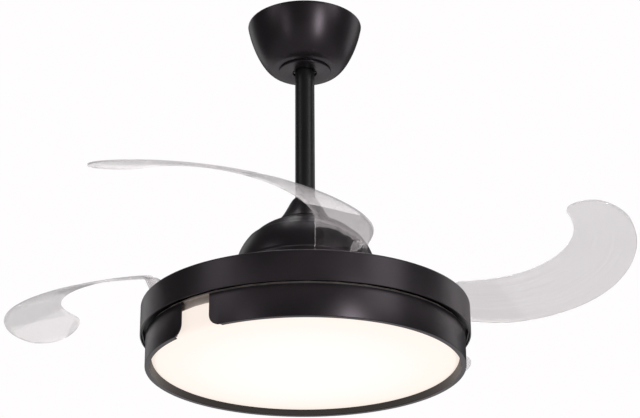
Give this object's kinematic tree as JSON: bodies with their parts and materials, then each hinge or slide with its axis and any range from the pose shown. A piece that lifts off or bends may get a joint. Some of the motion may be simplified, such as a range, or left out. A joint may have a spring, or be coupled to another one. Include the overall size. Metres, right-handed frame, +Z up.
{
  "type": "retractable blade ceiling fan",
  "caption": "Ceiling fan on a short downrod: clear hooked blades swing out from a round lamp drum and fold back over it, with a domed motor cover, bell canopy and glowing opal diffuser.",
  "frame": {"origin": "centre of the hanger bracket's ceiling face, on the fan's axis", "axes": "+Z up, towards the ceiling, along the fan's axis; +X to the right in the picture; +Y away from the camera"},
  "size_m": [0.8246, 0.8246, 0.503],
  "materials": {
    "graphite_coat": "satin black powder coat on steel",
    "hanger_zinc": "zinc-plated pressed steel",
    "fastener_steel": "bright zinc-plated steel",
    "ball_nylon": "black moulded nylon",
    "cast_coupling": "cast steel coupling, dark grey",
    "rod_coat": "satin black powder coat on steel pipe",
    "motor_alloy": "die-cast aluminium",
    "stator_varnish": "varnished laminations and copper coils",
    "ferrite": "ferrite magnet ring",
    "bearing_steel": "ground bearing steel with seals",
    "carrier_coat": "black painted pressed steel",
    "gear_acetal": "natural acetal, moulded",
    "hub_nylon": "black glass-filled nylon",
    "clear_blade": null,
    "spring_wire": "hard-drawn spring wire",
    "stop_rubber": "black rubber",
    "tray_alloy": "mill-finish aluminium",
    "board_white": "white solder mask with LED packages",
    "opal_diffuser": "opal acrylic, lit from inside, warm white, emissive",
    "case_plastic": "pale grey moulded casing"
  },
  "bodies": {
    "ceiling_mount": {"hanger_bracket": "hanger_zinc", "canopy": "graphite_coat", "canopy_trim_cup": "graphite_coat", "canopy_screw_1": "fastener_steel", "canopy_screw_2": "fastener_steel"},
    "suspension": {"hanger_ball": "ball_nylon", "ball_pin": "fastener_steel", "downrod": "rod_coat", "motor_yoke": "cast_coupling", "rod_pin": "fastener_steel", "coupling_cover": "graphite_coat", "motor_cover": "graphite_coat", "motor_shaft": "fastener_steel", "stator": "stator_varnish", "lamp_pan": "carrier_coat", "shaft_nut": "fastener_steel", "upper_ring": "graphite_coat", "lamp_tray": "tray_alloy", "lower_ring": "graphite_coat", "lamp_board": "board_white", "lamp_driver": "case_plastic", "remote_receiver": "case_plastic", "pan_screw_1": "fastener_steel", "pan_screw_2": "fastener_steel", "pan_screw_3": "fastener_steel", "pan_screw_4": "fastener_steel"},
    "rotor": {"lower_bearing": "bearing_steel", "upper_bearing": "bearing_steel", "motor_case_lower": "motor_alloy", "motor_case_upper": "motor_alloy", "magnet_ring": "ferrite", "blade_carrier": "carrier_coat", "pivot_pin_1": "fastener_steel", "pivot_pin_2": "fastener_steel", "pivot_pin_3": "fastener_steel", "pivot_pin_4": "fastener_steel", "return_spring_1": "spring_wire", "return_spring_2": "spring_wire", "return_spring_3": "spring_wire", "return_spring_4": "spring_wire", "stop_sleeve_1": "stop_rubber", "stop_sleeve_2": "stop_rubber", "stop_sleeve_3": "stop_rubber", "stop_sleeve_4": "stop_rubber"},
    "sync_ring": {"sync_ring_gear": "gear_acetal"},
    "lamp_bowl": {"diffuser": "opal_diffuser"},
    "folding_blade_1": {"blade_1": "clear_blade", "blade_hub_1": "hub_nylon", "blade_clamp_1": "fastener_steel"},
    "folding_blade_2": {"blade_2": "clear_blade", "blade_hub_2": "hub_nylon", "blade_clamp_2": "fastener_steel"},
    "folding_blade_3": {"blade_3": "clear_blade", "blade_hub_3": "hub_nylon", "blade_clamp_3": "fastener_steel"},
    "folding_blade_4": {"blade_4": "clear_blade", "blade_hub_4": "hub_nylon", "blade_clamp_4": "fastener_steel"}
  },
  "joints": [
    {"name": "hanger_lean", "type": "hinge", "parent": "ceiling_mount", "child": "suspension", "pos_m": [0, 0, -0.0395], "axis": [1, 0, 0], "range_deg": [-5, 5]},
    {"name": "fan_spin", "type": "hinge", "parent": "suspension", "child": "rotor", "pos_m": [0, 0, -0.403], "axis": [0, 0, 1], "continuous": true},
    {"name": "blade_1_fold", "type": "hinge", "parent": "rotor", "child": "folding_blade_1", "pos_m": [0.16051, 0.03824, -0.423], "axis": [0, 0, 1], "range_deg": [-89.5, 0]},
    {"name": "blade_2_fold", "type": "hinge", "parent": "rotor", "child": "folding_blade_2", "pos_m": [-0.03824, 0.16051, -0.423], "axis": [0, 0, 1], "range_deg": [-89.5, 0]},
    {"name": "blade_3_fold", "type": "hinge", "parent": "rotor", "child": "folding_blade_3", "pos_m": [-0.16051, -0.03824, -0.423], "axis": [0, 0, 1], "range_deg": [-89.5, 0]},
    {"name": "blade_4_fold", "type": "hinge", "parent": "rotor", "child": "folding_blade_4", "pos_m": [0.03824, -0.16051, -0.423], "axis": [0, 0, 1], "range_deg": [-89.5, 0]},
    {"name": "sync_ring_turn", "type": "hinge", "parent": "rotor", "child": "sync_ring", "pos_m": [0, 0, -0.427], "axis": [0, 0, 1], "range_deg": [0, 22.38]},
    {"name": "diffuser_twist", "type": "hinge", "parent": "suspension", "child": "lamp_bowl", "pos_m": [0, 0, -0.468], "axis": [0, 0, 1], "range_deg": [0, 20]}
  ],
  "couplings": [
    {"joint": "blade_2_fold", "follows": "blade_1_fold", "ratio": 1},
    {"joint": "blade_3_fold", "follows": "blade_1_fold", "ratio": 1},
    {"joint": "blade_4_fold", "follows": "blade_1_fold", "ratio": 1},
    {"joint": "sync_ring_turn", "follows": "blade_1_fold", "ratio": -0.25}
  ]
}
